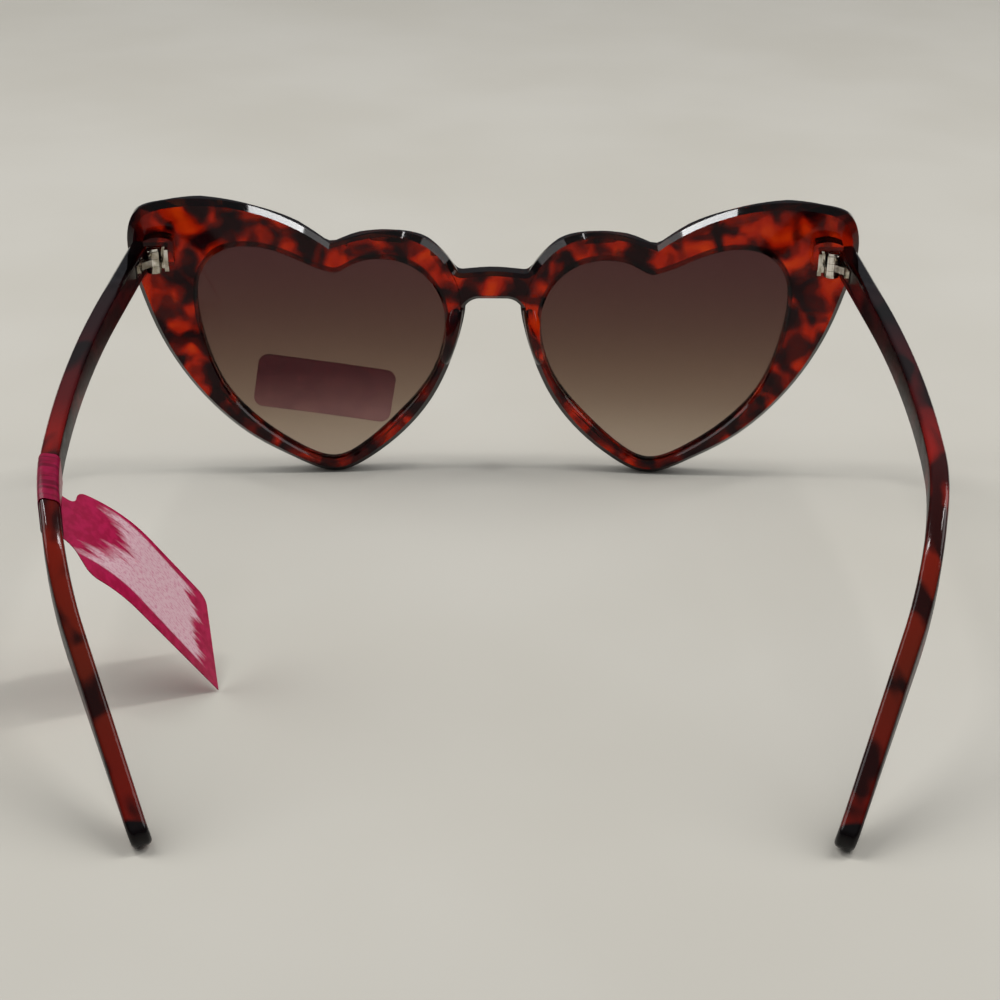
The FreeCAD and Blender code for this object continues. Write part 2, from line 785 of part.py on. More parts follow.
seat = size("seat_clearance")
arm_low = V(plate_in, -knuckle, stack_base + layer - seat)
arm_high = V(plate_out + seat, plate_end, stack_base + layer + size("knuckle_height") + seat)
leaf_seat = new_fuse("leaf_seat", [
    leaf_plate("plate_seat", seat),
    temple_tang("temple_tang_seat", seat),
    slab("arm_seat", leaf_place, arm_low, arm_high),
])
temple_left = new_boolean("Cut", "temple_left", rounded_temple, leaf_seat)
temple_right = new_mirror("temple_right", temple_left)

# Screw: a slotted round head on the top knuckle and a shank down through all three

shank = doc.addObject("Part::Cylinder", "screw_shank")
shank.setExpression("Radius", "sizes.pin_radius")
shank.setExpression("Height", "3 * sizes.knuckle_height + 2 * sizes.knuckle_gap + sizes.head_height / 2")
shank.Placement.Base = hinge_axis + UP * stack_base
head = doc.addObject("Part::Cylinder", "screw_head")
head.setExpression("Radius", "sizes.head_radius")
head.setExpression("Height", "sizes.head_height")
head_base = stack_base + stack_height
head.Placement.Base = hinge_axis + UP * head_base
slot_low = V(-2 * knuckle, -size("slot_width") / 2, head_base + size("head_height") / 2)
slot_high = V(2 * knuckle, size("slot_width") / 2, head_base + 2 * size("head_height"))
screw_blank = new_fuse("screw_blank", [shank, head])
slot = slab("screw_slot", hinge_place, slot_low, slot_high)
hinge_screw_left = new_boolean("Cut", "hinge_screw_left", screw_blank, slot)
hinge_screw_right = new_mirror("hinge_screw_right", hinge_screw_left)

# The left eye is cut, grooved and slotted for its hinge, then mirrored and joined by the bridge

cut_rim = new_boolean("Cut", "cut_rim", rim, cutter)
grooved_rim = new_boolean("Cut", "grooved_rim", cut_rim, lens_seat)
eye_left = new_boolean("Cut", "eye_left", grooved_rim, front_tang("front_tang_seat", seat))
eye_right = new_mirror("eye_right", eye_left)
front_frame = new_fuse("front_frame", [eye_left, eye_right, bridge])

# Tag: a bare film band round the left temple, with a flag that droops inward to the table

band_outer = temple_blank("band_outer", size("film_gap") + size("film"))
band_inner = temple_blank("band_inner", size("film_gap"))
tag_y = back_y + size("tag_distance")
wide = 4 * size("temple_end")
tag_slab = doc.addObject("Part::Box", "tag_slab")
tag_slab.Length = wide
tag_slab.setExpression("Width", "sizes.tag_width")
tag_slab.Height = wide
tag_slab.Placement.Base = V(0, tag_y - size("tag_width") / 2, -wide / 2)
band = new_boolean("Common", "tag_band", band_outer, tag_slab)
doc.recompute()

band_box = band.Shape.optimalBoundingBox(False, False)
band_middle = V(band_box.XMin + band_box.XMax, band_box.ZMin + band_box.ZMax, 0) / 2
flag_root = band_middle - V(0, size("flag_drop"), 0)
dip = math.radians(size("flag_start_angle"))
droop = math.radians(size("flag_start_angle") + size("flag_curl_angle"))
tilt = math.radians(size("flag_tilt_angle"))
neck = size("flag_neck")
neck_back = tag_y + size("tag_width") / 2 - size("film")
flag_half = size("flag_width") / 2
head_middle = neck_back - neck / 2
end_middle = head_middle - size("flag_skew")


def flag_line(offset):
    """The flag's curve in front view, from inside the band to the corner on the table."""
    radius = size("flag_radius") + offset
    centre = flag_root + V(math.sin(dip), -math.cos(dip), 0) * size("flag_radius")

    def spot(angle):
        return centre + V(-math.sin(angle), math.cos(angle), 0) * radius

    lowest = flag_root.y - (flag_root.y - size("film")) * math.cos(tilt)
    fall = centre.y + math.cos(droop) * size("flag_radius") - lowest
    end = spot(droop) + V(-math.cos(droop), -math.sin(droop), 0) * (fall / math.sin(droop))
    return spot(dip), spot((dip + droop) / 2), spot(droop), end


over = flag_line(size("film") / 2)
below = flag_line(-size("film") / 2)
corner_line = V(0, end_middle + flag_half, flag_root.y)
leaning = FreeCAD.Placement(V(), FreeCAD.Rotation(V(1, 0, 0), -size("flag_tilt_angle")), corner_line)
flag_sheet = new_body("flag_sheet", leaning)
profile = new_sketch(flag_sheet, "flag_curve", "XZ_Plane", [
    Part.Arc(over[0], over[1], over[2]),
    Part.LineSegment(over[2], over[3]),
    Part.LineSegment(over[3], below[3]),
    Part.LineSegment(below[3], below[2]),
    Part.Arc(below[2], below[1], below[0]),
    Part.LineSegment(below[0], over[0]),
])
new_pad(flag_sheet, profile, "4 * sizes.temple_end", both_ways=True)

flag_end = over[3].x - size("film")
shoulder = band_box.XMin
round_corner = size("flag_corner")
root = flag_root.x + round_corner
flag_plan = new_body("flag_plan")
profile = new_sketch(flag_plan, "flag_outline", "XY_Plane", rounded([
    (V(root, neck_back - neck, 0), 0),
    (V(root, neck_back, 0), 0),
    (V(shoulder - round_corner / 2, neck_back, 0), round_corner),
    (V(shoulder - size("flag_lean"), head_middle + flag_half, 0), 1.5 * round_corner),
    (V(flag_end, end_middle + flag_half, 0), round_corner / 4),
    (V(flag_end + size("flag_slant"), end_middle - flag_half, 0), round_corner),
    (V(shoulder, head_middle - flag_half, 0), round_corner),
    (V(shoulder, neck_back - neck, 0), round_corner / 2),
]))
new_pad(flag_plan, profile, "4 * sizes.lens_height", both_ways=True)
flag = new_boolean("Common", "flag", flag_sheet, flag_plan)
tag_whole = new_fuse("tag_whole", [band, flag])
price_tag = new_boolean("Cut", "price_tag", tag_whole, band_inner)

# Every feature has to be sound before the pieces are written

NODES = [
    front_frame,
    lens_left,
    lens_right,
    lens_sticker,
    front_leaf_left,
    front_leaf_right,
    temple_leaf_left,
    temple_leaf_right,
    hinge_screw_left,
    hinge_screw_right,
    temple_left,
    temple_right,
    price_tag,
]
doc.recompute()
for item in doc.Objects:
    if "Invalid" in item.State or "Error" in item.State:
        raise RuntimeError(f"{item.Name} failed: {item.State}")
for node in NODES:
    if node.Shape.isNull() or not node.Shape.isValid() or len(node.Shape.Solids) != 1:
        raise RuntimeError(f"{node.Label} is not one valid solid")
os.makedirs("parts", exist_ok=True)
for node in NODES:
    node.Shape.exportStep(f"parts/{node.Label}.step")
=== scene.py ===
import bpy
import bmesh
import math
from mathutils import Matrix, Vector


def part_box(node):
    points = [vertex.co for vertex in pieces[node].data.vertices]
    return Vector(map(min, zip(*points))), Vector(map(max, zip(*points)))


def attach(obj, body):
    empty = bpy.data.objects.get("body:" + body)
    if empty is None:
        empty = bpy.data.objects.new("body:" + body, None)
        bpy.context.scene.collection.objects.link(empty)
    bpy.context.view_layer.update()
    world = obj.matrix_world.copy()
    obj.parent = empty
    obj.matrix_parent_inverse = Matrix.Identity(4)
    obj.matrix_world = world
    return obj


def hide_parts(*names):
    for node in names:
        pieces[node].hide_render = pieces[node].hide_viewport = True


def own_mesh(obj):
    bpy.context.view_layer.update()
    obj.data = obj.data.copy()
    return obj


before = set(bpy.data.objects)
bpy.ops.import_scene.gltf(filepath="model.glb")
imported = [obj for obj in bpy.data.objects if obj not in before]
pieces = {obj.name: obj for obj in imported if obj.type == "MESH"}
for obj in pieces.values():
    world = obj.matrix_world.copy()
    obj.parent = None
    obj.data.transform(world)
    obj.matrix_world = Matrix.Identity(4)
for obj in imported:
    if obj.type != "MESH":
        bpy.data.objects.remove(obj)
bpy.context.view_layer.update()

# Front frame: both heart rims, the bridge, the nose pads and the hinge housings, moulded in one
# of clear red plastic with dark swirls run into it. The front is diamond-cut and the whole is
# polished. The outer wall and the back bevel get a painted near-black shade, so the edge reads nearly
# black.


def srgb(red, green, blue):
    """A colour given in the 0 to 255 numbers of a screen."""
    linear = []
    for part in (red, green, blue):
        share = part / 255
        linear.append(share / 12.92 if share < 0.04045 else ((share + 0.055) / 1.055) ** 2.4)
    return (*linear, 1.0)


def fill_sockets(finish, node, sockets):
    """Each socket gets a plain value, or a link where the value is another node's socket."""
    for name, value in sockets.items():
        if isinstance(value, bpy.types.NodeSocket):
            finish.node_tree.links.new(value, node.inputs[name])
        else:
            node.inputs[name].default_value = value


def new_finish(name):
    """A material that starts as one plain principled shader."""
    finish = bpy.data.materials.new(name)
    finish.use_nodes = True
    return finish


def coat_with(finish, sockets):
    """Values or links for the shader that the surface ends in."""
    fill_sockets(finish, finish.node_tree.nodes["Principled BSDF"], sockets)


def layer(finish, kind, sockets, **settings):
    """One more node of the given kind, with its sockets filled."""
    node = finish.node_tree.nodes.new(f"ShaderNode{kind}")
    for name, value in settings.items():
        setattr(node, name, value)
    fill_sockets(finish, node, sockets)
    return node


def shades(finish, source, stops, interpolation="EASE"):
    """A colour ramp over a source socket, from a list of (place, colour)."""
    node = layer(finish, "ValToRGB", {"Fac": source})
    node.color_ramp.interpolation = interpolation
    marks = node.color_ramp.elements
    while len(marks) < len(stops):
        marks.new(1)
    for mark, (place, colour) in zip(marks, stops):
        mark.position = place
        mark.color = colour
    return node.outputs["Color"]


def blend_colours(finish, share, first, second, kind="MIX"):
    """Two colours mixed, multiplied or compared by the given share."""
    node = layer(finish, "Mix", {}, data_type="RGBA", blend_type=kind)
    factor, colour_a, colour_b, colour_out = 0, 6, 7, 2
    for socket, value in ((factor, share), (colour_a, first), (colour_b, second)):
        if isinstance(value, bpy.types.NodeSocket):
            finish.node_tree.links.new(value, node.inputs[socket])
        else:
            node.inputs[socket].default_value = value
    return node.outputs[colour_out]


def dress(names, finish):
    """The one finish of each CAD piece named."""
    for name in names:
        slots = pieces[name].data.materials
        slots.clear()
        slots.append(finish)


BLACK = (0.0, 0.0, 0.0, 1.0)
WHITE = (1.0, 1.0, 1.0, 1.0)
DULL_GLOSS = (0.35, 0.35, 0.35, 1.0)

wrap_angle = math.radians(4)
wrap_slope = math.tan(wrap_angle)
back_plane = -0.0667
bevel_depth = 0.0012
foot_darkening = 1.2
heart_middle = sum(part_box("lens_left"), Vector()) / 2

front_plastic = new_finish("red_tortoiseshell_front")
place = layer(front_plastic, "TexCoord", {})
through = layer(front_plastic, "Mapping", {
    "Vector": place.outputs["Object"],
    "Location": (0.057, 0.0, 0.061),
    "Scale": (1.0, 0.3, 1.0),
})
swirl = layer(front_plastic, "TexNoise", {
    "Vector": through.outputs["Vector"],
    "Scale": 205.0,
    "Detail": 1.2,
    "Roughness": 0.45,
    "Distortion": 0.5,
})
where = layer(front_plastic, "SeparateXYZ", {"Vector": place.outputs["Object"]})
dark_low = layer(front_plastic, "Math", {
    0: where.outputs["Z"],
    1: foot_darkening,
    2: swirl.outputs["Fac"],
}, operation="MULTIPLY_ADD")
body_colour = shades(front_plastic, dark_low.outputs[0], [
    (0.468, (0.012, 0.0004, 0.0016, 1.0)),
    (0.538, (0.14, 0.004, 0.001, 1.0)),
    (0.628, (0.48, 0.014, 0.001, 1.0)),
    (0.788, (0.72, 0.048, 0.002, 1.0)),
])
facing = layer(front_plastic, "SeparateXYZ", {"Vector": place.outputs["Normal"]})
steep = layer(front_plastic, "Math", {0: facing.outputs["Y"]}, operation="ABSOLUTE")
# Painted shade: sideways faces (the outer wall and top faces) and the back bevel are marked here to be
# turned near black.
wall = shades(front_plastic, steep.outputs[0], [(0.42, WHITE), (0.60, BLACK)])
bevel = shades(front_plastic, steep.outputs[0], [(0.76, WHITE), (0.90, BLACK)])
outward = layer(front_plastic, "Math", {0: where.outputs["X"]}, operation="ABSOLUTE")
swept = layer(front_plastic, "Math", {
    0: outward.outputs[0],
    1: -wrap_slope,
    2: where.outputs["Y"],
}, operation="MULTIPLY_ADD")
behind = layer(front_plastic, "MapRange", {
    "Value": swept.outputs[0],
    "From Min": back_plane - 1.3 * bevel_depth,
    "From Max": back_plane - 1.1 * bevel_depth,
})
back_bevel_shade = blend_colours(front_plastic, 1.0, bevel, behind.outputs["Result"], "MULTIPLY")
sides = layer(front_plastic, "VectorMath", {0: place.outputs["Object"]}, operation="SIGN")
turned = layer(front_plastic, "VectorMath", {
    0: place.outputs["Normal"],
    1: sides.outputs["Vector"],
}, operation="MULTIPLY")
one_side = layer(front_plastic, "VectorMath", {0: place.outputs["Object"]}, operation="ABSOLUTE")
from_heart = layer(front_plastic, "VectorMath", {
    0: one_side.outputs["Vector"],
    1: (1.0, 0.0, 1.0),
    2: (-heart_middle.x, 0.0, -heart_middle.z),
}, operation="MULTIPLY_ADD")
away = layer(front_plastic, "VectorMath", {
    0: turned.outputs["Vector"],
    1: from_heart.outputs["Vector"],
}, operation="DOT_PRODUCT")
outer = layer(front_plastic, "Math", {0: away.outputs["Value"], 1: 0.0}, operation="GREATER_THAN")
edge_shade_mask = blend_colours(front_plastic, 1.0, wall, back_bevel_shade, "LIGHTEN")
painted_edge_shade = blend_colours(front_plastic, 1.0, edge_shade_mask, outer.outputs[0], "MULTIPLY")
# The painted near-black shade, srgb(15, 9, 9), is laid over the swirled body colour on the outer edges.
rim_colour = blend_colours(front_plastic, painted_edge_shade, body_colour, srgb(15, 9, 9))
scuff = layer(front_plastic, "TexNoise", {
    "Vector": place.outputs["Object"],
    "Scale": 1400.0,
    "Detail": 3.0,
})
polish = layer(front_plastic, "MapRange", {
    "Value": scuff.outputs["Fac"],
    "From Min": 0.3,
    "From Max": 0.8,
    "To Min": 0.03,
    "To Max": 0.09,
})
ripple = layer(front_plastic, "Bump", {
    "Strength": 0.03,
    "Distance": 0.0002,
    "Height": swirl.outputs["Fac"],
})
coat_with(front_plastic, {
    "Base Color": rim_colour,
    "Roughness": polish.outputs["Result"],
    "IOR": 1.49,
    "Transmission Weight": 0.85,
    "Specular Tint": DULL_GLOSS,
    "Normal": ripple.outputs["Normal"],
})
dress(["front_frame"], front_plastic)

# Lenses: two domed hearts of clear plastic sprung into the groove of each rim. They are dipped
# in a brown tint that is dark at the brow and runs out to a pale beige at the foot.

lens_low, lens_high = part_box("lens_left")
lens_tint = new_finish("graded_brown_lens")
place = layer(lens_tint, "TexCoord", {})
height = layer(lens_tint, "SeparateXYZ", {"Vector": place.outputs["Object"]})
grade = layer(lens_tint, "MapRange", {
    "Value": height.outputs["Z"],
    "From Min": lens_low.z,
    "From Max": lens_high.z,
})
tint = shades(lens_tint, grade.outputs["Result"], [
    (0.0, (0.52, 0.43, 0.35, 1.0)),
    (0.28, (0.23, 0.155, 0.11, 1.0)),
    (0.62, (0.105, 0.052, 0.042, 1.0)),
    (1.0, (0.080, 0.026, 0.031, 1.0)),
], "B_SPLINE")
smear = layer(lens_tint, "TexNoise", {
    "Vector": place.outputs["Object"],
    "Scale": 60.0,
    "Detail": 4.0,
})
film = layer(lens_tint, "MapRange", {
    "Value": smear.outputs["Fac"],
    "From Min": 0.35,
    "From Max": 0.75,
    "To Min": 0.0,
    "To Max": 0.03,
})
coat_with(lens_tint, {
    "Base Color": tint,
    "Roughness": film.outputs["Result"],
    "IOR": 1.45,
    "Transmission Weight": 1.0,
    "Specular Tint": DULL_GLOSS,
})
dress(["lens_left", "lens_right"], lens_tint)

# Hinges: stamped and rolled nickel leaves, two knuckles on the front and one on the temple,
# pressed into the plastic by a tongue. They are bright, with faint rolling marks.

hinge_metal = new_finish("nickel_hinge")
place = layer(hinge_metal, "TexCoord", {})
grain = layer(hinge_metal, "Mapping", {
    "Vector": place.outputs["Object"],
    "Scale": (900.0, 900.0, 7000.0),
})
brush = layer(hinge_metal, "TexNoise", {"Vector": grain.outputs["Vector"], "Scale": 1.0, "Detail": 3.0})
tarnish = layer(hinge_metal, "TexNoise", {"Vector": place.outputs["Object"], "Scale": 500.0})
metal_colour = shades(hinge_metal, tarnish.outputs["Fac"], [
    (0.35, srgb(165, 157, 142)),
    (0.65, srgb(236, 231, 222)),
])
metal_polish = layer(hinge_metal, "MapRange", {
    "Value": brush.outputs["Fac"],
    "To Min": 0.06,
    "To Max": 0.20,
})
metal_grain = layer(hinge_metal, "Bump", {
    "Strength": 0.1,
    "Distance": 0.00005,
    "Height": brush.outputs["Fac"],
})
coat_with(hinge_metal, {
    "Base Color": metal_colour,
    "Metallic": 1.0,
    "Roughness": metal_polish.outputs["Result"],
    "Normal": metal_grain.outputs["Normal"],
})
dress(["front_leaf_left", "front_leaf_right", "temple_leaf_left", "temple_leaf_right"], hinge_metal)

# Screws: small slotted steel pins turned on a lathe, run down through the three knuckles.
# The heads are bright and carry the fine rings of the turning tool.

screw_metal = new_finish("turned_steel_screw")
place = layer(screw_metal, "TexCoord", {})
lathe = layer(screw_metal, "TexNoise", {"Vector": place.outputs["Object"], "Scale": 3000.0, "Detail": 2.0})
screw_colour = shades(screw_metal, lathe.outputs["Fac"], [
    (0.35, srgb(190, 185, 175)),
    (0.65, srgb(238, 236, 230)),
])
screw_polish = layer(screw_metal, "MapRange", {
    "Value": lathe.outputs["Fac"],
    "To Min": 0.10,
    "To Max": 0.24,
})
coat_with(screw_metal, {
    "Base Color": screw_colour,
    "Metallic": 1.0,
    "Roughness": screw_polish.outputs["Result"],
})
dress(["hinge_screw_left", "hinge_screw_right"], screw_metal)

# Temples: bars of the same red plastic with far more dark in it, polished all over. They are
# nearly black at the hinge and turn red with dark flecks round the bend, the right bar darker
# than the left. The flanks carry a painted dark shade with deep red windows in it, and the tips are black.

temple_low, temple_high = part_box("temple_left")
tip_length = 0.0016
right_darkening = 0.5
temple_plastic = new_finish("dark_tortoiseshell_temple")
place = layer(temple_plastic, "TexCoord", {})
spot = layer(temple_plastic, "SeparateXYZ", {"Vector": place.outputs["Object"]})
along = layer(temple_plastic, "MapRange", {
    "Value": spot.outputs["Y"],
    "From Min": temple_low.y,
    "From Max": temple_high.y,
})
length_colour = shades(temple_plastic, along.outputs["Result"], [
    (0.10, srgb(14, 8, 9)),
    (0.28, srgb(36, 6, 10)),
    (0.48, srgb(84, 6, 7)),
    (0.62, srgb(146, 16, 5)),
    (0.74, srgb(124, 24, 6)),
    (0.86, srgb(98, 27, 10)),
    (0.97, srgb(112, 18, 6)),
], "LINEAR")
across = layer(temple_plastic, "Mapping", {
    "Vector": place.outputs["Object"],
    "Location": (9.7, 2.6, 0.0),
    "Scale": (190.0, 80.0, 190.0),
})
bands = layer(temple_plastic, "TexNoise", {
    "Vector": across.outputs["Vector"],
    "Scale": 1.0,
    "Detail": 1.5,
    "Roughness": 0.4,
    "Distortion": 0.3,
})
dark_right = layer(temple_plastic, "Math", {
    0: spot.outputs["X"],
    1: right_darkening,
    2: bands.outputs["Fac"],
}, operation="MULTIPLY_ADD")
band_shade = shades(temple_plastic, dark_right.outputs[0], [
    (0.40, (0.10, 0.08, 0.10, 1.0)),
    (0.56, WHITE),
])
edge_colour = blend_colours(temple_plastic, 1.0, length_colour, band_shade, "MULTIPLY")
windows = layer(temple_plastic, "TexNoise", {
    "Vector": place.outputs["Object"],
    "Scale": 85.0,
    "Detail": 2.0,
    "Distortion": 0.6,
})
# Flank colour: a painted dark shade with the plastic's own deep red windows in it.
flank_windows_and_shade = shades(temple_plastic, windows.outputs["Fac"], [
    (0.45, srgb(13, 4, 7)),
    (0.58, srgb(48, 7, 11)),
    (0.70, srgb(92, 17, 15)),
])
# Painted shade: faces that point sideways take the dark flank colour, faces that point up keep the bar
# colour.
facing = layer(temple_plastic, "SeparateXYZ", {"Vector": place.outputs["Normal"]})
level = layer(temple_plastic, "Math", {0: facing.outputs["Z"]}, operation="ABSOLUTE")
shaded_flank = shades(temple_plastic, level.outputs[0], [(0.25, WHITE), (0.60, BLACK)])
bar_colour = blend_colours(temple_plastic, shaded_flank, edge_colour, flank_windows_and_shade)
tip = layer(temple_plastic, "MapRange", {
    "Value": spot.outputs["Y"],
    "From Min": temple_high.y - 1.3 * tip_length,
    "From Max": temple_high.y - tip_length,
})
temple_colour = blend_colours(temple_plastic, tip.outputs["Result"], bar_colour, srgb(10, 6, 7))
scuff = layer(temple_plastic, "TexNoise", {
    "Vector": place.outputs["Object"],
    "Scale": 1200.0,
    "Detail": 3.0,
})
polish = layer(temple_plastic, "MapRange", {
    "Value": scuff.outputs["Fac"],
    "From Min": 0.3,
    "From Max": 0.8,
    "To Min": 0.05,
    "To Max": 0.14,
})
dulled = layer(temple_plastic, "MapRange", {"Value": shaded_flank, "To Min": 0.0, "To Max": 0.3})
satin = layer(temple_plastic, "Math", {
    0: polish.outputs["Result"],
    1: dulled.outputs["Result"],
}, operation="ADD")
coat_with(temple_plastic, {
    "Base Color": temple_colour,
    "Roughness": satin.outputs[0],
    "IOR": 1.49,
    "Transmission Weight": 0.25,
    "Specular Tint": DULL_GLOSS,
})


crease_angle = math.radians(35)
weld_distance = 1e-6


def bare_piece(name, shape, finish, body, node):
    """A finished piece that rides on a body and stands for a CAD node."""
    data = bpy.data.meshes.new(name)
    shape.to_mesh(data)
    shape.free()
    data.materials.append(finish)
    data.shade_smooth()
    data.set_sharp_from_angle(angle=crease_angle)
    piece = bpy.data.objects.new(name, data)
    bpy.context.scene.collection.objects.link(piece)
    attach(piece, body)
    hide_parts(node)
    return piece


twist_start = Vector((0.0715, 0.032, 0.030))
twist_end = Vector((0.0525, 0.071, 0.003))
tip_twist = math.radians(15)
for side, name in ((1, "left"), (-1, "right")):
    bar = bmesh.new()
    bar.from_mesh(pieces[f"temple_{name}"].data)
    bmesh.ops.remove_doubles(bar, verts=bar.verts, dist=weld_distance)
    start = Vector((side * twist_start.x, twist_start.y, twist_start.z))
    end = Vector((side * twist_end.x, twist_end.y, twist_end.z))
    for vert in bar.verts:
        share = (vert.co.y - start.y) / (end.y - start.y)
        if share > 0:
            turn = Matrix.Rotation(side * tip_twist * share, 4, end - start)
            vert.co = start + turn @ (vert.co - start)
    bar_name = f"temple_bar_{name}"
    bare_piece(bar_name, bar, temple_plastic, f"{name}_temple", f"temple_{name}")

# Tag: one strip of pink printed film. Its band is wrapped round the left temple, and both ends
# are stuck together into a flag that droops inward until one corner rests on the table. Torn
# white paper backing is left along the middle of the flag.

film_thickness = 0.00014
film_gap = 0.00006
band_front = 0.0198
band_back = 0.0296
band_clear = 0.4


def film_finish(name, clear):
    """Pink film, faintly uneven in its print, that lets the given share of light through."""
    finish = new_finish(name)
    spots = layer(finish, "TexCoord", {})
    print_grain = layer(finish, "TexNoise", {
        "Vector": spots.outputs["Object"],
        "Scale": 700.0,
        "Detail": 3.0,
    })
    pink = shades(finish, print_grain.outputs["Fac"], [
        (0.35, srgb(176, 14, 70)),
        (0.65, srgb(198, 24, 88)),
    ])
    coat_with(finish, {
        "Base Color": pink,
        "Roughness": 0.28,
        "IOR": 1.46,
        "Transmission Weight": clear,
        "Specular Tint": DULL_GLOSS,
    })
    return finish, pink


band_film, band_pink = film_finish("pink_band_film", band_clear)
place = layer(band_film, "TexCoord", {})
ring_map = layer(band_film, "Mapping", {
    "Vector": place.outputs["Object"],
    "Scale": (60.0, 1500.0, 60.0),
})
rings = layer(band_film, "TexNoise", {"Vector": ring_map.outputs["Vector"], "Scale": 1.0, "Detail": 2.0})
ring_shade = shades(band_film, rings.outputs["Fac"], [
    (0.38, srgb(158, 140, 150)),
    (0.55, srgb(214, 196, 206)),
])
ringed_pink = blend_colours(band_film, 1.0, band_pink, ring_shade, "MULTIPLY")
coat_with(band_film, {"Base Color": ringed_pink})
band = bmesh.new()
band.from_mesh(pieces["temple_left"].data)
bmesh.ops.remove_doubles(band, verts=band.verts, dist=weld_distance)
for cut, outward in ((band_front, -1), (band_back, 1)):
    bmesh.ops.bisect_plane(
        band,
        geom=band.verts[:] + band.edges[:] + band.faces[:],
        plane_co=(0, cut, 0),
        plane_no=(0, outward, 0),
        clear_outer=True,
    )
band.normal_update()
lifted = [(vert, vert.normal * (film_gap + film_thickness)) for vert in band.verts]
for vert, lift in lifted:
    vert.co += lift
bmesh.ops.solidify(band, geom=band.faces[:], thickness=film_thickness)
bare_piece("tag_band", band, band_film, "left_temple", "price_tag")

flag_root_x = 0.0722
flag_root_z = 0.0354
flag_bend = 0.045
flag_start = math.radians(34)
flag_droop = math.radians(59)
flag_tilt = math.radians(18)
front_root_x = 0.0715
back_root_x = 0.0700
shoulder_x = 0.0693
neck_back_x = 0.0685
head_back_x = 0.0653
front_end_x = 0.0506
flag_end_x = 0.0472
neck_front = 0.0213
neck_back = 0.0293
head_front = 0.0184
head_back = 0.0322
end_front = 0.0104
end_back = 0.0242
corner_round = 0.0012
flag_strips = 33
strip_width = 0.00075
flag_rows = 14
row_width = 0.0015
flag_clear = 0.55
paper_clear = 0.05

flag_film, flag_pink = film_finish("pink_flag_film", flag_clear)
flat = layer(flag_film, "UVMap", {}, uv_map="film_flat")
streak_map = layer(flag_film, "Mapping", {"Vector": flat.outputs["UV"], "Scale": (3.0, 11.0, 1.0)})
streak = layer(flag_film, "TexNoise", {
    "Vector": streak_map.outputs["Vector"],
    "Scale": 1.0,
    "Detail": 5.0,
    "Roughness": 0.6,
})
flat_place = layer(flag_film, "SeparateXYZ", {"Vector": flat.outputs["UV"]})
off_middle = layer(flag_film, "Math", {0: flat_place.outputs["Y"], 1: 0.40}, operation="SUBTRACT")
to_edge = layer(flag_film, "Math", {0: off_middle.outputs[0]}, operation="ABSOLUTE")
tongue = layer(flag_film, "Math", {
    0: to_edge.outputs[0],
    1: 0.55,
    2: flat_place.outputs["X"],
}, operation="MULTIPLY_ADD")
torn = layer(flag_film, "Math", {
    0: streak.outputs["Fac"],
    1: 0.60,
    2: tongue.outputs[0],
}, operation="MULTIPLY_ADD")
stretch = shades(flag_film, torn.outputs[0], [
    (0.62, BLACK),
    (0.74, WHITE),
], "LINEAR")
rough_end = layer(flag_film, "Math", {
    0: streak.outputs["Fac"],
    1: 0.30,
    2: flat_place.outputs["X"],
}, operation="MULTIPLY_ADD")
slanted = layer(flag_film, "Math", {
    0: flat_place.outputs["Y"],
    1: -0.16,
    2: rough_end.outputs[0],
}, operation="MULTIPLY_ADD")
free_end = shades(flag_film, slanted.outputs[0], [(0.86, WHITE), (0.90, BLACK)], "LINEAR")
border = shades(flag_film, flat_place.outputs["Y"], [
    (0.00, BLACK),
    (0.03, WHITE),
    (0.88, WHITE),
    (0.90, BLACK),
], "LINEAR")
both_ends = blend_colours(flag_film, 1.0, stretch, free_end, "MULTIPLY")
paper = blend_colours(flag_film, 1.0, both_ends, border, "MULTIPLY")
fibre = layer(flag_film, "TexNoise", {
    "Vector": flat.outputs["UV"],
    "Scale": 45.0,
    "Detail": 6.0,
    "Roughness": 0.7,
})
paper_colour = shades(flag_film, fibre.outputs["Fac"], [
    (0.32, srgb(190, 110, 136)),
    (0.55, srgb(210, 174, 181)),
])
clear_share = layer(flag_film, "MapRange", {
    "Value": paper,
    "To Min": flag_clear,
    "To Max": paper_clear,
})
coat_with(flag_film, {
    "Base Color": blend_colours(flag_film, paper, flag_pink, paper_colour),
    "Transmission Weight": clear_share.outputs["Result"],
})

flag = bmesh.new()
outline = [
    (front_root_x, neck_front),
    (shoulder_x, neck_front),
    (shoulder_x, head_front),
    (front_end_x, end_front),
    (flag_end_x, end_back),
    (head_back_x, head_back),
    (neck_back_x, neck_back),
    (back_root_x, neck_back),
]
corners = [flag.verts.new((x, y, 0)) for x, y in outline]
flag.faces.new(corners)
bmesh.ops.bevel(
    flag,
    geom=corners[1:4] + corners[5:7],
    offset=corner_round,
    offset_type="OFFSET",
    affect="VERTICES",
    segments=5,
    profile=0.5,
    material=-1,
)
for step in range(1, flag_strips + 1):
    bmesh.ops.bisect_plane(
        flag,
        geom=flag.verts[:] + flag.edges[:] + flag.faces[:],
        plane_co=(flag_root_x - strip_width * step, 0, 0),
        plane_no=(1, 0, 0),
    )
for step in range(1, flag_rows + 1):
    bmesh.ops.bisect_plane(
        flag,
        geom=flag.verts[:] + flag.edges[:] + flag.faces[:],
        plane_co=(0, end_front + row_width * step, 0),
        plane_no=(0, 1, 0),
    )
flat_layer = flag.loops.layers.uv.new("film_flat")
for face in flag.faces:
    for loop in face.loops:
        run = (shoulder_x - loop.vert.co.x) / (shoulder_x - flag_end_x)
        front = head_front + (end_front - head_front) * run
        loop[flat_layer].uv = (run, (loop.vert.co.y - front) / (head_back - head_front))
bend_centre_x = flag_root_x + flag_bend * math.sin(flag_start)
bend_centre_z = flag_root_z - flag_bend * math.cos(flag_start)
bend_end_x = bend_centre_x - flag_bend * math.sin(flag_droop)
bend_end_z = bend_centre_z + flag_bend * math.cos(flag_droop)
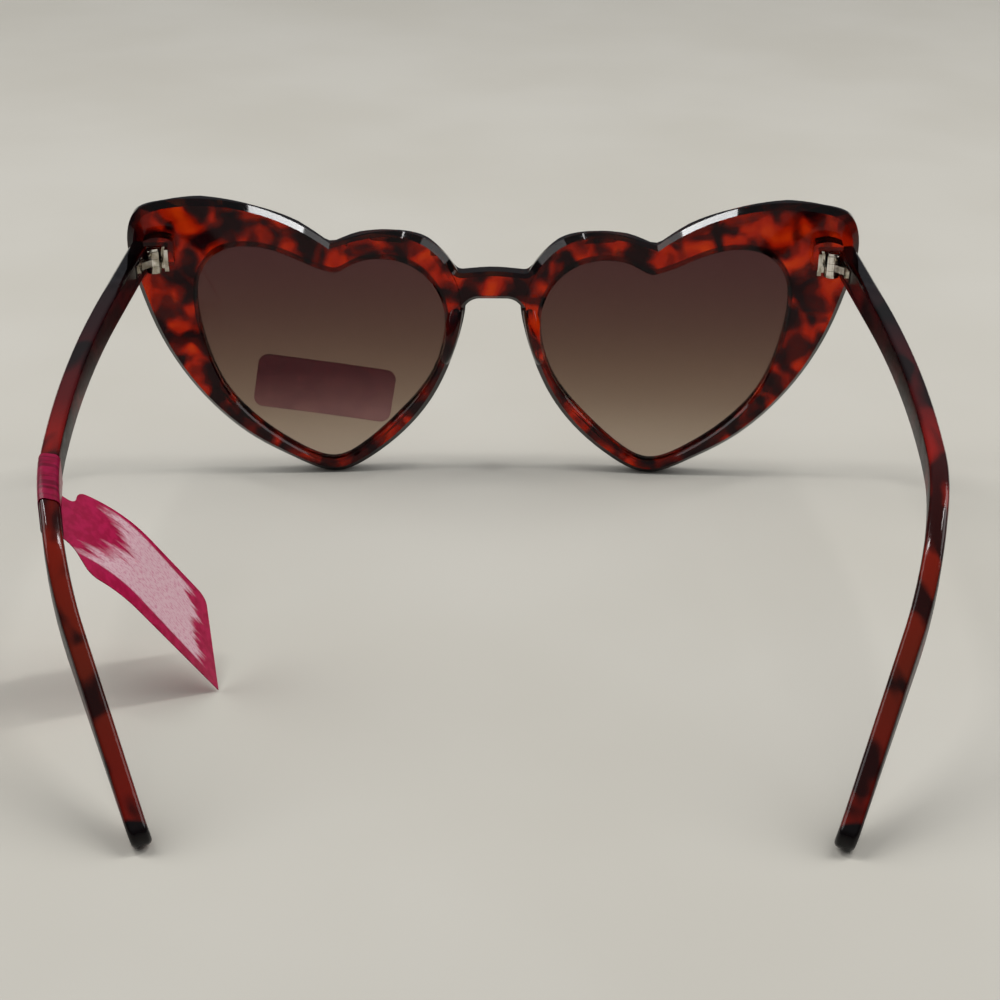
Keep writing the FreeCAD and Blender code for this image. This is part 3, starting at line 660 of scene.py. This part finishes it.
for vert in flag.verts:
    if vert.co.x > bend_end_x:
        sag = math.sqrt(flag_bend**2 - (bend_centre_x - vert.co.x) ** 2)
        curve_z = bend_centre_z + sag
    else:
        curve_z = bend_end_z - (bend_end_x - vert.co.x) * math.tan(flag_droop)
    lean = (vert.co.y - end_back) * math.tan(flag_tilt)
    vert.co.z = flag_root_z + (curve_z - flag_root_z) / math.cos(flag_tilt) - lean
bmesh.ops.recalc_face_normals(flag, faces=flag.faces[:])
bmesh.ops.solidify(flag, geom=flag.faces[:], thickness=film_thickness)
tag_flag = bare_piece("tag_flag", flag, flag_film, "left_temple", "price_tag")
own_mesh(tag_flag)

# Sticker: a purple see-through film with round corners, stuck to the front of the left lens.
# It is bare, and a little uneven where the glue has not wetted the lens.

sticker_film = new_finish("purple_sticker_film")
place = layer(sticker_film, "TexCoord", {})
mottle = layer(sticker_film, "TexNoise", {"Vector": place.outputs["Object"], "Scale": 220.0, "Detail": 4.0})
mottle_shade = shades(sticker_film, mottle.outputs["Fac"], [
    (0.35, (0.85, 0.80, 0.85, 1.0)),
    (0.65, WHITE),
])
sticker_low, sticker_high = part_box("lens_sticker")
height = layer(sticker_film, "SeparateXYZ", {"Vector": place.outputs["Object"]})
sticker_height = layer(sticker_film, "MapRange", {
    "Value": height.outputs["Z"],
    "From Min": sticker_low.z,
    "From Max": sticker_high.z,
})
# The print colour runs from dark purple at the top to pale at the bottom edge.
print_colour = shades(sticker_film, sticker_height.outputs["Result"], [
    (0.15, (0.86, 0.56, 0.72, 1.0)),
    (0.75, (0.44, 0.13, 0.24, 1.0)),
], "LINEAR")
sticker_colour = blend_colours(sticker_film, 1.0, print_colour, mottle_shade, "MULTIPLY")
coat_with(sticker_film, {
    "Base Color": sticker_colour,
    "Roughness": 0.06,
    "IOR": 1.45,
    "Transmission Weight": 0.9,
    "Specular Tint": DULL_GLOSS,
})
dress(["lens_sticker"], sticker_film)

# Table: a plain pale cream top that the rims and the temple tips stand on.
# It is a flat board under a tight cloth, with a slight change of tone over its width.

cloth = new_finish("cream_table")
place = layer(cloth, "TexCoord", {})
fibre = layer(cloth, "TexNoise", {"Vector": place.outputs["Object"], "Scale": 9.0, "Detail": 3.0})
cloth_colour = shades(cloth, fibre.outputs["Fac"], [
    (0.3, (0.450, 0.428, 0.375, 1.0)),
    (0.7, (0.480, 0.460, 0.410, 1.0)),
])
coat_with(cloth, {"Base Color": cloth_colour, "Roughness": 0.9})
table_reach = 4
table_shape = bmesh.new()
bmesh.ops.create_grid(table_shape, x_segments=1, y_segments=1, size=table_reach)
table_data = bpy.data.meshes.new("table_top")
table_shape.to_mesh(table_data)
table_shape.free()
table_data.materials.append(cloth)
table_top = bpy.data.objects.new("table_top", table_data)
bpy.context.scene.collection.objects.link(table_top)

# Studio: a large soft panel high on either side, a narrow strip overhead on either side that
# draws the bright line along the brow, and a room that is dim at the walls and pale overhead.


def soft_light(name, place, target, width, depth, power):
    """A flat lamp of the given size that faces its target."""
    lamp = bpy.data.lights.new(name, "AREA")
    lamp.shape = "RECTANGLE"
    lamp.size = width
    lamp.size_y = depth
    lamp.energy = power
    holder = bpy.data.objects.new(name, lamp)
    holder.location = place
    holder.rotation_euler = (Vector(target) - Vector(place)).to_track_quat("-Z", "Y").to_euler()
    bpy.context.scene.collection.objects.link(holder)


panel_width = 1.0
panel_power = 11.0
strip_length = 0.42
strip_depth = 0.045
strip_power = 2.5
middle = (0.0, 0.0, 0.03)
for side, name in ((1, "left"), (-1, "right")):
    panel_place = (1.3 * side, -0.2, 1.05)
    strip_place = (0.365 * side, -0.075, 0.8)
    strip_target = (0.319 * side, -0.164, 0.05)
    soft_light(f"{name}_panel", panel_place, middle, panel_width, panel_width, panel_power)
    soft_light(f"{name}_strip", strip_place, strip_target, strip_length, strip_depth, strip_power)
room = bpy.data.worlds.new("pale_room")
room.use_nodes = True
sky = layer(room, "TexCoord", {})
rise = layer(room, "SeparateXYZ", {"Vector": sky.outputs["Generated"]})
sky_colour = shades(room, rise.outputs["Z"], [
    (0.25, (0.10, 0.10, 0.11, 1.0)),
    (0.85, (0.36, 0.37, 0.385, 1.0)),
])
fill_sockets(room, room.node_tree.nodes["Background"], {"Color": sky_colour, "Strength": 1.0})
bpy.context.scene.world = room

# Camera: held behind and above the temples, as the glasses are seen by their wearer.
# It looks 26 degrees down through a lens of 68.4 mm, with a slight turn and roll.

camera_data = bpy.data.cameras.new("camera")
camera_data.lens = 68.4
camera_data.sensor_width = 36
camera_data.clip_start = 0.01
camera = bpy.data.objects.new("camera", camera_data)
camera_place = Matrix.Translation((0.0021, 0.3033, 0.173))
heading = Matrix.Rotation(math.pi - math.radians(0.612), 4, "Z")
pitch = Matrix.Rotation(math.radians(64), 4, "X")
roll = Matrix.Rotation(math.radians(0.6), 4, "Z")
camera.matrix_world = camera_place @ heading @ pitch @ roll
bpy.context.scene.collection.objects.link(camera)
bpy.context.scene.camera = camera
bpy.context.scene.view_settings.view_transform = "Standard"
